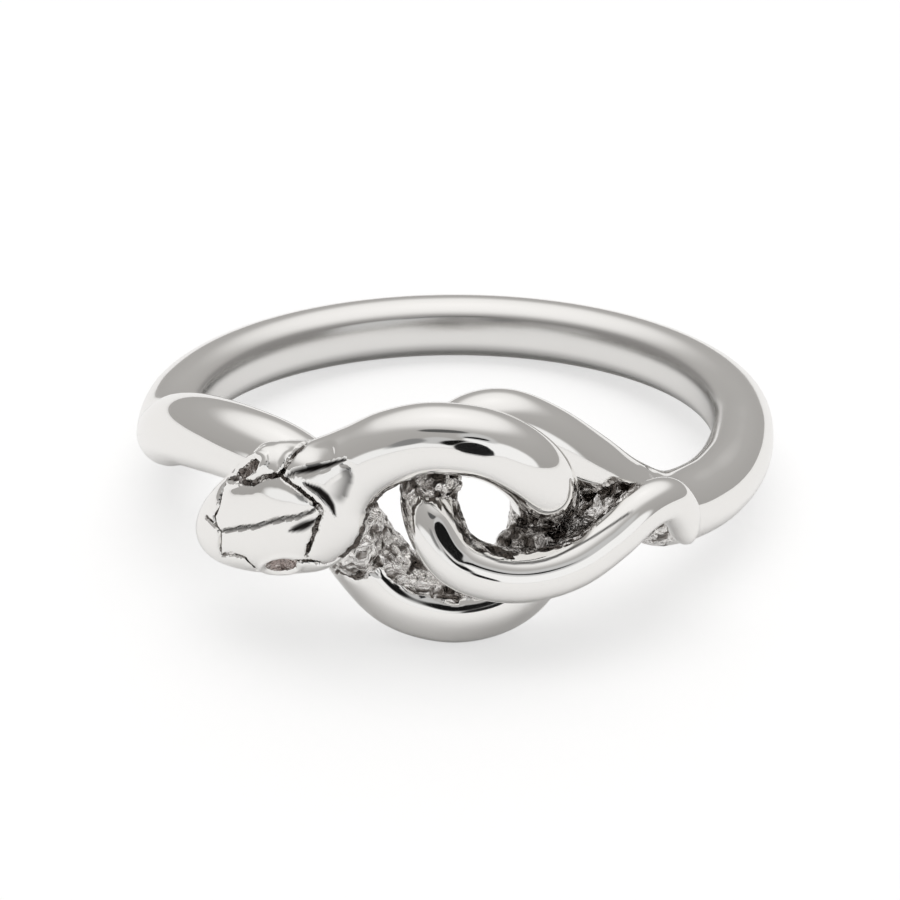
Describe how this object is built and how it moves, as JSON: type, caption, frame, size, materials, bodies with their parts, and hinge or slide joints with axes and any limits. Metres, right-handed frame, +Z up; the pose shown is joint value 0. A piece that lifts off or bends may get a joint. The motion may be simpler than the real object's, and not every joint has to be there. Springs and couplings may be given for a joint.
{
  "type": "snake wrap ring",
  "caption": "Finger ring in polished silver: a snake whose two halves meet in front as linked coils, the head lying over the left shank and the tail hooked over the right.",
  "frame": {"origin": "centre of the finger hole, at mid height of the round band", "axes": "+Z up from the table that the ring lies on, +Y towards the back of the band, -Y towards the knot, +X to the viewer's right; the finger hole's axis leans about 7 degrees from +Z towards +Y because the knot props the front up"},
  "size_m": [0.0212, 0.0228, 0.0088],
  "materials": {
    "polished_silver": "high polish on the coils, head and band, with a dark rough as-cast surface in the recesses between the coils"
  },
  "bodies": {
    "root": {"snake_ring": "polished_silver"}
  },
  "joints": []
}
